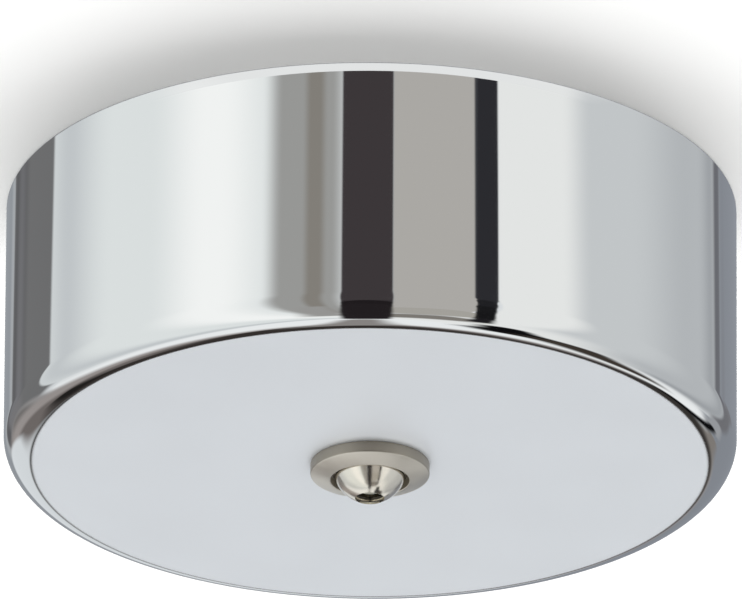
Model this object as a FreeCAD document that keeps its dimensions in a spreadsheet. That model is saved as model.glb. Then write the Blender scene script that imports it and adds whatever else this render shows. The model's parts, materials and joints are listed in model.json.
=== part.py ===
# Electrical ceiling rose: a deep-drawn cup held up by one hollow, domed screw.
# The frame: +Z points up into the ceiling, and the origin is the middle of the
# cup's rim, in the plane of the ceiling. X runs along the ceiling bracket.
import FreeCAD, Part
import math
import os
import re

import Sketcher
from FreeCAD import Rotation, Vector

doc = FreeCAD.newDocument("CeilingRose")

# The block's poles, in the order in which they lie along Y
POLES = ("live", "neutral", "earth")

# Driving dimensions in millimetres, apart from the counts, the shares and the angles
DIMENSIONS = {
    # The drawn cup
    "cup_radius": 60,
    "cup_height": 45,
    "cup_wall": 0.8,
    "cup_corner": 4.5,
    # Clearances
    "hole_gap": 0.25,
    "fit_gap": 0.05,
    "end_gap": 0.2,
    # The turned flange under the cup's plate
    "flange_radius": 9.75,
    "flange_edge": 1.9,
    "flange_cone": 1.1,
    "flange_round": 0.3,
    "seat_radius": 6.45,
    "seat_depth": 1.6,
    # The domed outlet screw and its liner
    "stem_radius": 5,
    "stem_bevel": 0.6,
    "head_radius": 5.8,
    "head_collar": 1,
    "dome_rise": 3.7,
    "dome_tip": 2.4,
    "cord_radius": 1.8,
    "mouth_round": 0.4,
    "lip_depth": 1.5,
    "liner_radius": 3,
    "liner_flange_radius": 4.3,
    "liner_flange": 0.8,
    "liner_round": 0.3,
    # The ceiling bracket
    "bracket_gap": 2.2,
    "bracket_half_width": 12,
    "bracket_sheet": 1.5,
    "bracket_drop": 8,
    "bracket_corner": 4,
    "bend_radius": 1,
    "slot_margin": 2.8,
    "slot_clear": 2.7,
    "slot_half_width": 2.25,
    "slot_half_length": 4.5,
    "entry_radius": 7,
    # The cable grommet
    "grommet_bore": 4.5,
    "grommet_radius": 9,
    "grommet_lip": 1.6,
    "grommet_round": 0.5,
    # The cord yoke and its rivets
    "yoke_half_width": 12.5,
    "yoke_half_depth": 9,
    "yoke_sheet": 1.5,
    "yoke_corner": 2,
    "rivet_clear": 1.6,
    "rivet_edge": 1.5,
    "rivet_radius": 1.5,
    "rivet_head_radius": 2.7,
    "rivet_head": 1,
    # The outlet sleeve, its washer and its locknut
    "sleeve_flats": 14,
    "sleeve_length": 16,
    "sleeve_shoulder": 2,
    "sleeve_gap": 0.4,
    "sleeve_mouth": 0.5,
    "spigot_radius": 5,
    "spigot_bore": 3.5,
    "spigot_length": 6.5,
    "locknut_flats": 14,
    "locknut_height": 3,
    "sleeve_washer_radius": 8.6,
    "sleeve_washer_sheet": 0.6,
    "sleeve_washer_tooth": 1.6,
    "sleeve_washer_teeth": 12,
    # The terminal block
    "block_gap": 0.5,
    "block_base": 3,
    "block_base_half_width": 5.5,
    "pole_pitch": 12,
    "pole_half_width": 3.5,
    "pole_half_length": 8.5,
    "pole_axis": 5.4,
    "poles": len(POLES),
    "well_place": 4.4,
    "well_outer": 3.3,
    "well_bore": 2.3,
    "well_height": 13.5,
    "well_round": 0.4,
    "tube_radius": 2.8,
    "tube_bore": 1.7,
    "tube_half_length": 7,
    # The clamping screws in the block
    "clamp_radius": 1.4,
    "clamp_head_radius": 2,
    "clamp_head": 1.8,
    "clamp_seat": 10.2,
    "clamp_reach": 0.5,
    "clamp_slot": 0.6,
    "clamp_slot_depth": 0.9,
    # The screws and nuts that hold the block
    "fixing_radius": 1.25,
    "fixing_head_radius": 2.35,
    "fixing_head": 1.7,
    "fixing_slot": 0.6,
    "fixing_slot_depth": 0.8,
    "fixing_nut_flats": 5,
    "fixing_nut_height": 2,
    "fixing_tail": 0.5,
    # The earth terminal
    "earth_gap": 4.4,
    "earth_radius": 2,
    "earth_head_radius": 4,
    "earth_head": 2.7,
    "earth_slot": 1.2,
    "earth_slot_depth": 1.2,
    "earth_tail": 0.4,
    "earth_nut_flats": 7,
    "earth_nut_height": 2.4,
    "earth_plate_half": 4.6,
    "earth_plate_sheet": 1,
    "earth_plate_corner": 1.2,
    "earth_washer_radius": 4,
    "earth_washer_sheet": 0.5,
    "earth_washer_tooth": 0.9,
    "earth_washer_teeth": 10,
    # Every slotted screw: the share of its head that is a straight edge, and the share
    # of its radius that the bevelled tip takes off
    "edge_share": 0.45,
    "tip_share": 0.25,
    # The bevel of every hexagon, in degrees
    "hexagon_bevel": 30,
}

sheet = doc.addObject("Spreadsheet::Sheet", "Sizes")
for row, (name, size) in enumerate(DIMENSIONS.items(), start=1):
    sheet.set(f"A{row}", name)
    sheet.set(f"B{row}", str(size))
    sheet.setAlias(f"B{row}", name)
doc.recompute()

# Places and sizes that follow from the driving dimensions. Heights are on the row's
# Z axis, so all of them are below the ceiling and negative.
DERIVED = {
    "plate_face": "-cup_height",
    "plate_inside": "plate_face + cup_wall",
    "bracket_half_length": "cup_radius - cup_wall - bracket_gap",
    "slot_centre": "bracket_half_length - slot_margin - slot_half_length",
    "bracket_wall": "slot_centre - slot_half_length - slot_clear - bracket_sheet",
    "web_top": "-bracket_drop",
    "web_under": "web_top - bracket_sheet",
    "yoke_under": "web_under - yoke_sheet",
    "rivet_place": "yoke_half_width + rivet_clear + rivet_head_radius",
    "yoke_half_span": "rivet_place + rivet_head_radius + rivet_edge",
    "sleeve_end": "plate_inside + sleeve_gap",
    "base_under": "sleeve_end + sleeve_length",
    "base_top": "base_under + yoke_sheet",
    "locknut_under": "base_top + sleeve_washer_sheet",
    "thread_depth": "sleeve_length - sleeve_shoulder",
    "engagement": "thread_depth - liner_flange - end_gap",
    "stem_hole": "stem_radius + hole_gap",
    "stem_top": "cup_wall + sleeve_gap + engagement",
    "flange_depth": "flange_edge + flange_cone",
    "head_seat": "-(flange_depth - seat_depth)",
    "dome_base": "head_seat - head_collar",
    "dome_end": "dome_base - dome_rise",
    "lip_top": "dome_end + lip_depth",
    "block_place": "yoke_half_span + block_gap + pole_half_length",
    "first_pole": "-(poles - 1) * pole_pitch / 2",
    "fixing_seat": "web_under - block_base",
    "fixing_length": "block_base + bracket_sheet + fixing_nut_height + fixing_tail",
    "earth_place": "yoke_half_span + earth_gap + earth_plate_half",
    "earth_seat": "web_under - earth_plate_sheet",
    "earth_nut_under": "web_top + earth_washer_sheet",
    "earth_stack": "earth_plate_sheet + bracket_sheet + earth_washer_sheet + earth_nut_height",
    "earth_length": "earth_stack + earth_tail",
    "clamp_tip": "pole_axis + tube_bore - clamp_reach",
}


def bound(formula):
    """The formula with each size's name turned into a reference to its cell."""
    def swap(word):
        name = word.group()
        if name in DERIVED:
            return f"({bound(DERIVED[name])})"
        return f"Sizes.{name}" if name in DIMENSIONS else name
    return re.sub(r"[a-z][a-z_]*", swap, formula)


def value(formula):
    """The formula's value now, in millimetres."""
    return float(sheet.evalExpression(bound(formula)))


def piece(label, x="0", y="0", z="0", upside_down=False):
    """A new body, with its own place bound to the sheet."""
    body = doc.addObject("PartDesign::Body", label)
    body.Label = label
    if upside_down:
        body.Placement.Rotation = Rotation(Vector(1, 0, 0), 180)
    for axis, formula in zip("xyz", (x, y, z)):
        if formula != "0":
            body.setExpression(f"Placement.Base.{axis}", bound(formula))
    return body


def origin_feature(body, role):
    """One of the body's own planes or axes."""
    return next(item for item in body.Origin.OriginFeatures if item.Role == role)


def new_sketch(body, plane, name, height="0"):
    """An empty sketch on one of the body's planes, raised along its normal."""
    sketch = body.newObject("Sketcher::SketchObject", name)
    sketch.AttachmentSupport = [(origin_feature(body, plane), "")]
    sketch.MapMode = "FlatFace"
    if height != "0":
        sketch.setExpression("AttachmentOffset.Base.z", bound(height))
    return sketch


def tie(sketch, geometry, point, x=None, y=None):
    """Fixes a point's coordinates to formulas, or to an axis where they are 0."""
    for kind, axis, formula in (("DistanceX", -2, x), ("DistanceY", -1, y)):
        if formula is None:
            continue
        if formula == "0":
            sketch.addConstraint(Sketcher.Constraint("PointOnObject", geometry, point, axis))
            continue
        length = value(formula)
        index = sketch.addConstraint(Sketcher.Constraint(kind, -1, 1, geometry, point, length))
        sketch.setExpression(f"Constraints[{index}]", bound(formula))


def arc_centre(start, end, axis, formula):
    """The arc's centre: one coordinate is given, the other is as far from both ends."""
    along, across = (0, 1) if axis == "x" else (1, 0)
    given = value(formula)
    numerator = (start[along] - given) ** 2 - (end[along] - given) ** 2
    numerator += start[across] ** 2 - end[across] ** 2
    other = numerator / (2 * (start[across] - end[across]))
    return (given, other) if axis == "x" else (other, given)


def draw(sketch, outline):
    """Draws a closed outline. Each corner is (x, y), and a corner whose next side is an
    arc adds "x" or "y" and the formula of that coordinate of the arc's centre."""
    corners = [(value(corner[0]), value(corner[1])) for corner in outline]
    sides = []
    for index, corner in enumerate(outline):
        start = corners[index]
        end = corners[(index + 1) % len(corners)]
        if len(corner) == 2:
            line = Part.LineSegment(Vector(*start, 0), Vector(*end, 0))
            sides.append((sketch.addGeometry(line), 1, 2))
            continue
        centre = arc_centre(start, end, corner[2], corner[3])
        circle = Part.Circle(Vector(*centre, 0), Vector(0, 0, 1), math.dist(centre, start))
        angles = [math.atan2(spot[1] - centre[1], spot[0] - centre[0]) for spot in (start, end)]
        turns_left = math.sin(angles[1] - angles[0]) > 0
        if not turns_left:
            angles.reverse()
        if angles[1] < angles[0]:
            angles[1] += 2 * math.pi
        geometry = sketch.addGeometry(Part.ArcOfCircle(circle, *angles))
        sides.append((geometry, 1, 2) if turns_left else (geometry, 2, 1))
    for index, (geometry, first, last) in enumerate(sides):
        following = sides[(index + 1) % len(sides)]
        joint = Sketcher.Constraint("Coincident", geometry, last, following[0], following[1])
        sketch.addConstraint(joint)
        corner = outline[index]
        tie(sketch, geometry, first, corner[0], corner[1])
        if len(corner) == 4:
            tie(sketch, geometry, 3, **{corner[2]: corner[3]})


def draw_circle(sketch, radius, x="0", y="0"):
    """Draws a circle round a centre that the formulas give."""
    centre = Vector(value(x), value(y), 0)
    geometry = sketch.addGeometry(Part.Circle(centre, Vector(0, 0, 1), value(radius)))
    tie(sketch, geometry, 3, x, y)
    index = sketch.addConstraint(Sketcher.Constraint("Radius", geometry, value(radius)))
    sketch.setExpression(f"Constraints[{index}]", bound(radius))


def draw_slot(sketch, left, right, radius):
    """Draws a slot along X, from the centre of its left end to that of its right end."""
    draw(sketch, [
        (left, f"-{radius}"),
        (right, f"-{radius}", "x", right),
        (f"{right} + {radius}", "0", "x", right),
        (right, radius),
        (left, radius, "x", left),
        (f"{left} - {radius}", "0", "x", left),
    ])


def settle(body, feature, removes=False):
    """Recomputes after a new feature, and checks that it added or removed material."""
    before = body.Shape.Volume if body.Shape.Solids else 0
    body.Tip = feature
    doc.recompute()
    change = body.Shape.Volume - before
    if (removes and change >= 0) or (not removes and change <= 0):
        raise RuntimeError(f"{body.Label}: {feature.Label} changes the volume by {change:.3f} mm3")
    return feature


def turn(body, name, outline, removes=False):
    """Turns an outline, drawn as radius and height, round the body's Z axis."""
    sketch = new_sketch(body, "XZ_Plane", name + "_profile")
    draw(sketch, outline)
    kind = "PartDesign::Groove" if removes else "PartDesign::Revolution"
    feature = body.newObject(kind, name)
    feature.Profile = sketch
    feature.ReferenceAxis = (sketch, ["V_Axis"])
    feature.Angle = 360
    return settle(body, feature, removes)


def pad(body, name, sketch, length, both_ways=False):
    """Pads a sketch by a length, along its normal or to both sides of its plane."""
    feature = body.newObject("PartDesign::Pad", name)
    feature.Profile = sketch
    feature.SideType = "Symmetric" if both_ways else "One side"
    feature.setExpression("Length", bound(length))
    return settle(body, feature)


def cut_through(body, name, sketch):
    """Cuts a sketch through everything, to both sides of its plane."""
    feature = body.newObject("PartDesign::Pocket", name)
    feature.Profile = sketch
    feature.SideType = "Symmetric"
    feature.Type = "ThroughAll"
    return settle(body, feature, removes=True)


def cut_upwards(body, name, sketch, depth):
    """Cuts a sketch to a depth along its normal."""
    feature = body.newObject("PartDesign::Pocket", name)
    feature.Profile = sketch
    feature.Reversed = True
    feature.setExpression("Length", bound(depth))
    return settle(body, feature, removes=True)


def row_of(body, name, originals, axis, pitch, count, removes=False):
    """Repeats features in a row along one of the body's axes."""
    feature = body.newObject("PartDesign::LinearPattern", name)
    feature.Originals = originals
    feature.Direction = (origin_feature(body, axis), [""])
    feature.Mode = "Spacing"
    feature.setExpression("Offset", bound(pitch))
    feature.setExpression("Occurrences", bound(count))
    return settle(body, feature, removes)


def ring_of(body, name, original, count):
    """Repeats a cut round the body's Z axis."""
    feature = body.newObject("PartDesign::PolarPattern", name)
    feature.Originals = [original]
    feature.Axis = (origin_feature(body, "Z_Axis"), [""])
    feature.Angle = 360
    feature.setExpression("Occurrences", bound(count))
    return settle(body, feature, removes=True)


def round_edges(body, name, radius, wanted):
    """Rounds the edges for which wanted(edge) is true."""
    base = body.Tip
    edges = base.Shape.Edges
    names = [f"Edge{index}" for index, edge in enumerate(edges, start=1) if wanted(edge)]
    if not names:
        raise RuntimeError(f"{body.Label}: {name} finds no edge")
    feature = body.newObject("PartDesign::Fillet", name)
    feature.Base = (base, names)
    feature.setExpression("Radius", bound(radius))
    body.Tip = feature
    doc.recompute()
    return feature


def near(first, second):
    """True where two lengths are the same to a thousandth of a millimetre."""
    return abs(first - second) < 0.001


def any_circle_at(height):
    """Picks every full circle at a height."""
    wanted_height = value(height)

    def wanted(edge):
        full = isinstance(edge.Curve, Part.Circle) and edge.isClosed()
        return full and near(edge.Curve.Center.z, wanted_height)
    return wanted


def circle_at(radius, height):
    """Picks full circles round the Z axis of a radius at a height."""
    wanted_radius = value(radius)
    at_height = any_circle_at(height)

    def wanted(edge):
        if not at_height(edge):
            return False
        middle = edge.Curve.Center
        on_axis = near(middle.x, 0) and near(middle.y, 0)
        return on_axis and near(edge.Curve.Radius, wanted_radius)
    return wanted


def bend_at(*places):
    """Picks the straight edges along Y at the given x (on both sides) and z."""
    spots = [(value(x), value(z)) for x, z in places]

    def wanted(edge):
        ends = [vertex.Point for vertex in edge.Vertexes]
        if len(ends) < 2 or near(ends[0].y, ends[1].y):
            return False
        return any(all(near(abs(end.x), x) and near(end.z, z) for end in ends) for x, z in spots)
    return wanted


def upright_at(x, y):
    """Picks the upright edges at the given x and y, on all four sides."""
    wanted_x, wanted_y = value(x), value(y)

    def wanted(edge):
        ends = [vertex.Point for vertex in edge.Vertexes]
        if len(ends) < 2 or near(ends[0].z, ends[1].z):
            return False
        return all(near(abs(end.x), wanted_x) and near(abs(end.y), wanted_y) for end in ends)
    return wanted


def rectangle(half_x, half_y):
    """A rectangle round the origin."""
    return [
        (f"-({half_x})", f"-({half_y})"),
        (half_x, f"-({half_y})"),
        (half_x, half_y),
        (f"-({half_x})", half_y),
    ]


def hexagon(flats):
    """A hexagon whose flats are this far apart, with two of them across Y."""
    half = f"{flats} / 2"
    corner = f"{half} / cos(30)"
    side = f"{half} * tan(30)"
    return [
        (corner, "0"),
        (side, half),
        (f"-({side})", half),
        (f"-({corner})", "0"),
        (f"-({side})", f"-({half})"),
        (side, f"-({half})"),
    ]


def hexagonal(body, flats, height):
    """A hexagonal bar from z = 0 up, with both ends bevelled as turned ones are."""
    sketch = new_sketch(body, "XY_Plane", "hexagon")
    draw(sketch, hexagon(flats))
    pad(body, "bar", sketch, height)
    inner = f"{flats} / 2"
    outer = f"{flats} / 2 / cos(30) + hole_gap"
    fall = f"({outer} - {inner}) * tan(hexagon_bevel)"
    turn(body, "lower_bevel", [(inner, "0"), (outer, "0"), (outer, fall)], removes=True)
    upper = [(inner, height), (outer, f"{height} - {fall}"), (outer, height)]
    turn(body, "upper_bevel", upper, removes=True)


def hexagon_nut(label, flats, height, hole, **place):
    """A hexagonal nut that stands on z = 0 of its own frame."""
    body = piece(label, **place)
    hexagonal(body, flats, height)
    sketch = new_sketch(body, "XY_Plane", "hole")
    draw_circle(sketch, hole)
    cut_through(body, "bore", sketch)
    return body


def toothed_washer(label, outer, hole, thickness, tooth, teeth, **place):
    """A flat washer with teeth round its rim, parted by V-shaped notches."""
    body = piece(label, **place)
    disc = new_sketch(body, "XY_Plane", "disc")
    draw_circle(disc, outer)
    draw_circle(disc, hole)
    pad(body, "blank", disc, thickness)
    notch = new_sketch(body, "XY_Plane", "notch")
    half = f"{outer} * tan(90 / {teeth})"
    tip = f"{outer} - {tooth}"
    past = f"{outer} + {tooth}"
    draw(notch, [(tip, "0"), (past, f"-({half})"), (past, half)])
    first = cut_through(body, "first_notch", notch)
    ring_of(body, "notches", first, teeth)
    return body


def slotted_screw(label, radius, length, head_radius, head, slot, slot_depth, **place):
    """A slotted screw. Its shank points up from z = 0 and its domed head hangs below."""
    body = piece(label, **place)
    rim = f"-({head}) * edge_share"
    turn(body, "blank", [
        ("0", length),
        ("0", f"-({head})", "x", "0"),
        (head_radius, rim),
        (head_radius, "0"),
        (radius, "0"),
        (radius, f"{length} - {radius} * tip_share"),
        (f"{radius} * (1 - tip_share)", length),
    ])
    sketch = new_sketch(body, "YZ_Plane", "slot_section")
    top = f"-({head}) + {slot_depth}"
    draw(sketch, [
        (f"-({slot}) / 2", f"-({head}) - {slot_depth}"),
        (f"{slot} / 2", f"-({head}) - {slot_depth}"),
        (f"{slot} / 2", top),
        (f"-({slot}) / 2", top),
    ])
    cut_through(body, "slot", sketch)
    return body


def make_cup():
    """The drawn cup, stood on its plate: one sheet, plate, rounded corner and wall."""
    body = piece("cup", z="plate_face")
    turn(body, "shell", [
        ("stem_hole", "0"),
        ("cup_radius - cup_corner", "0", "x", "cup_radius - cup_corner"),
        ("cup_radius", "cup_corner"),
        ("cup_radius", "cup_height"),
        ("cup_radius - cup_wall", "cup_height"),
        ("cup_radius - cup_wall", "cup_corner", "x", "cup_radius - cup_corner"),
        ("cup_radius - cup_corner", "cup_wall"),
        ("stem_hole", "cup_wall"),
    ])
    return body


def make_outlet_flange():
    """The turned disc under the plate, with a coned face and a seat for the screw."""
    body = piece("outlet_flange", z="plate_face")
    turn(body, "disc", [
        ("stem_hole", "0"),
        ("stem_hole", "head_seat"),
        ("seat_radius", "head_seat"),
        ("seat_radius", "-flange_depth"),
        ("flange_radius", "-flange_edge"),
        ("flange_radius", "0"),
    ])
    round_edges(body, "rounded_edge", "flange_round", circle_at("flange_radius", "-flange_edge"))
    return body


def make_outlet_screw():
    """The hollow screw: threaded stem, collar and dome, bored for the cord."""
    body = piece("outlet_screw", z="plate_face")
    bore = "liner_radius + fit_gap"
    turn(body, "turned_part", [
        (bore, "stem_top"),
        (bore, "lip_top"),
        ("cord_radius", "lip_top"),
        ("cord_radius", "dome_end"),
        ("dome_tip", "dome_end", "x", "0"),
        ("head_radius", "dome_base"),
        ("head_radius", "head_seat"),
        ("stem_radius", "head_seat"),
        ("stem_radius", "stem_top - stem_bevel"),
        ("stem_radius - stem_bevel", "stem_top"),
    ])
    round_edges(body, "rounded_mouth", "mouth_round", circle_at("cord_radius", "dome_end"))
    return body


def make_screw_liner():
    """The plastic liner, from the screw's lip to a flange on the end of the stem."""
    body = piece("screw_liner", z="plate_face")
    turn(body, "tube", [
        ("cord_radius", "lip_top"),
        ("liner_radius", "lip_top"),
        ("liner_radius", "stem_top"),
        ("liner_flange_radius", "stem_top"),
        ("liner_flange_radius", "stem_top + liner_flange"),
        ("cord_radius", "stem_top + liner_flange"),
    ])
    mouth = circle_at("cord_radius", "stem_top + liner_flange")
    round_edges(body, "rounded_mouth", "liner_round", mouth)
    return body


def make_ceiling_bracket():
    """The joggled strap: two slotted feet on the ceiling and a dropped web."""
    body = piece("ceiling_bracket")
    outer = "bracket_wall + bracket_sheet"
    right = [
        ("bracket_wall", "web_top"),
        ("bracket_wall", "0"),
        ("bracket_half_length", "0"),
        ("bracket_half_length", "-bracket_sheet"),
        (outer, "-bracket_sheet"),
        (outer, "web_under"),
    ]
    left = [(f"-({x})", z) for x, z in reversed(right)]
    section = new_sketch(body, "XZ_Plane", "strap_section")
    draw(section, right + left)
    pad(body, "strap", section, "2 * bracket_half_width", both_ways=True)
    inside = bend_at(("bracket_wall", "web_top"), (outer, "-bracket_sheet"))
    round_edges(body, "inner_bends", "bend_radius", inside)
    outside = bend_at(("bracket_wall", "0"), (outer, "web_under"))
    round_edges(body, "outer_bends", "bend_radius + bracket_sheet", outside)
    tips = upright_at("bracket_half_length", "bracket_half_width")
    round_edges(body, "rounded_ends", "bracket_corner", tips)

    slots = new_sketch(body, "XY_Plane", "slot_outline")
    near_end = "slot_centre - slot_half_length + slot_half_width"
    far_end = "slot_centre + slot_half_length - slot_half_width"
    for sign in ("", "-"):
        start, end = (near_end, far_end) if sign == "" else (far_end, near_end)
        draw_slot(slots, f"{sign}({start})", f"{sign}({end})", "slot_half_width")
    cut_through(body, "ceiling_slots", slots)

    holes = new_sketch(body, "XY_Plane", "web_holes")
    draw_circle(holes, "entry_radius")
    for sign in ("", "-"):
        draw_circle(holes, "rivet_radius + fit_gap", x=f"{sign}rivet_place")
        draw_circle(holes, "fixing_radius + hole_gap", x="block_place", y=f"{sign}pole_pitch / 2")
    draw_circle(holes, "earth_radius + hole_gap", x="-earth_place")
    cut_through(body, "punched_holes", holes)
    return body


def make_cable_grommet():
    """The rubber grommet, in the hole in the web by which the supply cable comes in."""
    body = piece("cable_grommet", z="web_under")
    groove = "entry_radius - fit_gap"
    turn(body, "ring", [
        ("grommet_bore", "-grommet_lip"),
        ("grommet_radius", "-grommet_lip"),
        ("grommet_radius", "0"),
        (groove, "0"),
        (groove, "bracket_sheet"),
        ("grommet_radius", "bracket_sheet"),
        ("grommet_radius", "bracket_sheet + grommet_lip"),
        ("grommet_bore", "bracket_sheet + grommet_lip"),
    ])
    rims = [
        circle_at(radius, height)
        for radius in ("grommet_bore", "grommet_radius")
        for height in ("-grommet_lip", "bracket_sheet + grommet_lip")
    ]
    round_edges(body, "rounded_rims", "grommet_round", lambda edge: any(rim(edge) for rim in rims))
    return body


def make_cord_yoke():
    """The yoke: a U of sheet that hangs from the web and carries the sleeve."""
    body = piece("cord_yoke")
    inner = "yoke_half_width - yoke_sheet"
    right = [
        (inner, "base_top"),
        (inner, "web_under"),
        ("yoke_half_span", "web_under"),
        ("yoke_half_span", "yoke_under"),
        ("yoke_half_width", "yoke_under"),
        ("yoke_half_width", "base_under"),
    ]
    left = [(f"-({x})", z) for x, z in reversed(right)]
    section = new_sketch(body, "XZ_Plane", "yoke_section")
    draw(section, right + left)
    pad(body, "yoke", section, "2 * yoke_half_depth", both_ways=True)
    inside = bend_at((inner, "base_top"), ("yoke_half_width", "yoke_under"))
    round_edges(body, "inner_bends", "bend_radius", inside)
    outside = bend_at((inner, "web_under"), ("yoke_half_width", "base_under"))
    round_edges(body, "outer_bends", "bend_radius + yoke_sheet", outside)
    tips = upright_at("yoke_half_span", "yoke_half_depth")
    round_edges(body, "rounded_ends", "yoke_corner", tips)
    holes = new_sketch(body, "XY_Plane", "yoke_holes")
    draw_circle(holes, "spigot_radius + fit_gap")
    for sign in ("", "-"):
        draw_circle(holes, "rivet_radius + fit_gap", x=f"{sign}rivet_place")
    cut_through(body, "punched_holes", holes)
    return body


def make_yoke_rivets():
    """The two rivets, each with a domed head above the web and below the yoke."""
    body = piece("yoke_rivets", x="-rivet_place", z="yoke_under")
    grip = "yoke_sheet + bracket_sheet"
    rivet = turn(body, "rivet", [
        ("0", f"{grip} + rivet_head"),
        ("0", "-rivet_head", "x", "0"),
        ("rivet_head_radius", "0"),
        ("rivet_radius", "0"),
        ("rivet_radius", grip),
        ("rivet_head_radius", grip, "x", "0"),
    ])
    row_of(body, "pair", [rivet], "X_Axis", "2 * rivet_place", "2")
    return body


def make_outlet_sleeve():
    """The brass sleeve: the screw's thread below, and a bored spigot through the yoke."""
    body = piece("outlet_sleeve", z="sleeve_end")
    hexagonal(body, "sleeve_flats", "sleeve_length")
    top = "sleeve_length + spigot_length"
    turn(body, "spigot", [
        ("0", "sleeve_length"),
        ("spigot_radius", "sleeve_length"),
        ("spigot_radius", f"{top} - sleeve_mouth"),
        ("spigot_radius - sleeve_mouth", top),
        ("0", top),
    ])
    thread = "stem_radius + fit_gap"
    turn(body, "bore", [
        ("0", "0"),
        (f"{thread} + sleeve_mouth", "0"),
        (thread, "sleeve_mouth"),
        (thread, "thread_depth"),
        ("spigot_bore", "thread_depth"),
        ("spigot_bore", top),
        ("0", top),
    ], removes=True)
    return body


def make_terminal_block():
    """The moulded block, drawn on its base and hung upside down under the web."""
    body = piece("terminal_block", x="block_place", z="web_under", upside_down=True)
    base = new_sketch(body, "XY_Plane", "base_outline")
    half_length = "(poles - 1) * pole_pitch / 2 + pole_half_width"
    draw(base, rectangle("block_base_half_width", half_length))
    pad(body, "base", base, "block_base")

    arch = new_sketch(body, "YZ_Plane", "barrel_section")
    crown = "pole_axis + pole_half_width"
    draw(arch, [
        ("first_pole - pole_half_width", "0"),
        ("first_pole + pole_half_width", "0"),
        ("first_pole + pole_half_width", "pole_axis", "y", "pole_axis"),
        ("first_pole", crown, "y", "pole_axis"),
        ("first_pole - pole_half_width", "pole_axis"),
    ])
    barrel = pad(body, "barrel", arch, "2 * pole_half_length", both_ways=True)
    rounds = new_sketch(body, "XY_Plane", "well_outlines")
    wells = new_sketch(body, "XY_Plane", "well_bores", height="pole_axis")
    for sign in ("", "-"):
        draw_circle(rounds, "well_outer", x=f"{sign}well_place", y="first_pole")
        draw_circle(wells, "well_bore", x=f"{sign}well_place", y="first_pole")
    towers = pad(body, "towers", rounds, "well_height")
    row_of(body, "pole_row", [barrel, towers], "Y_Axis", "pole_pitch", "poles")

    round_edges(body, "rounded_towers", "well_round", any_circle_at("well_height"))
    screw_wells = cut_upwards(body, "screw_wells", wells, "well_height")
    row_of(body, "well_row", [screw_wells], "Y_Axis", "pole_pitch", "poles", removes=True)
    passage = new_sketch(body, "YZ_Plane", "passage_section")
    draw_circle(passage, "tube_radius + fit_gap", x="first_pole", y="pole_axis")
    first_passage = cut_through(body, "passage", passage)
    row_of(body, "passage_row", [first_passage], "Y_Axis", "pole_pitch", "poles", removes=True)
    fixing = new_sketch(body, "XY_Plane", "fixing_holes")
    for sign in ("", "-"):
        draw_circle(fixing, "fixing_radius + hole_gap", y=f"{sign}pole_pitch / 2")
    cut_through(body, "fixing", fixing)
    return body


def make_terminal_tube(index, use):
    """One brass tube of the block, cross-bored for its two clamping screws."""
    place = f"first_pole + {index} * pole_pitch"
    body = piece("terminal_tube_" + use, x="block_place", y=place, z="web_under - pole_axis")
    ring = new_sketch(body, "YZ_Plane", "tube_section")
    draw_circle(ring, "tube_radius")
    draw_circle(ring, "tube_bore")
    pad(body, "tube", ring, "2 * tube_half_length", both_ways=True)
    holes = new_sketch(body, "XY_Plane", "screw_holes", height="-tube_radius")
    for sign in ("", "-"):
        draw_circle(holes, "clamp_radius + fit_gap", x=f"{sign}well_place")
    cut_upwards(body, "cross_bores", holes, "tube_radius")
    return body


def repeat_whole(body, axis, pitch, count):
    """Repeats the whole piece along one of the body's axes, as separate solids."""
    feature = body.newObject("PartDesign::LinearPattern", "copies_along_" + axis)
    feature.TransformMode = "Whole shape"
    feature.Direction = (origin_feature(body, axis), [""])
    feature.Mode = "Spacing"
    feature.setExpression("Offset", bound(pitch))
    feature.setExpression("Occurrences", bound(count))
    settle(body, feature)


def make_terminal_screws():
    """The clamping screws, two over each tube, with their tips just in its bore."""
    body = slotted_screw(
        "terminal_screws", "clamp_radius", "clamp_seat - clamp_tip",
        "clamp_head_radius", "clamp_head", "clamp_slot", "clamp_slot_depth",
        x="block_place - well_place", y="first_pole", z="web_under - clamp_seat")
    repeat_whole(body, "X_Axis", "2 * well_place", "2")
    repeat_whole(body, "Y_Axis", "pole_pitch", "poles")
    return body


def make_block_fixings():
    """The two screws through the block's base and the web, and their nuts."""
    screws = slotted_screw(
        "block_screws", "fixing_radius", "fixing_length",
        "fixing_head_radius", "fixing_head", "fixing_slot", "fixing_slot_depth",
        x="block_place", y="-pole_pitch / 2", z="fixing_seat")
    repeat_whole(screws, "Y_Axis", "pole_pitch", "2")
    nuts = hexagon_nut(
        "block_nuts", "fixing_nut_flats", "fixing_nut_height", "fixing_radius + fit_gap",
        x="block_place", y="-pole_pitch / 2", z="web_top")
    repeat_whole(nuts, "Y_Axis", "pole_pitch", "2")
    return [screws, nuts]


def make_earth_clamp_plate():
    """The square plate that clamps the earth conductor to the web."""
    body = piece("earth_clamp_plate", x="-earth_place", z="earth_seat")
    square = new_sketch(body, "XY_Plane", "plate_outline")
    draw(square, rectangle("earth_plate_half", "earth_plate_half"))
    draw_circle(square, "earth_radius + hole_gap")
    pad(body, "plate", square, "earth_plate_sheet")
    corners = upright_at("earth_plate_half", "earth_plate_half")
    round_edges(body, "rounded_corners", "earth_plate_corner", corners)
    return body


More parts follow.
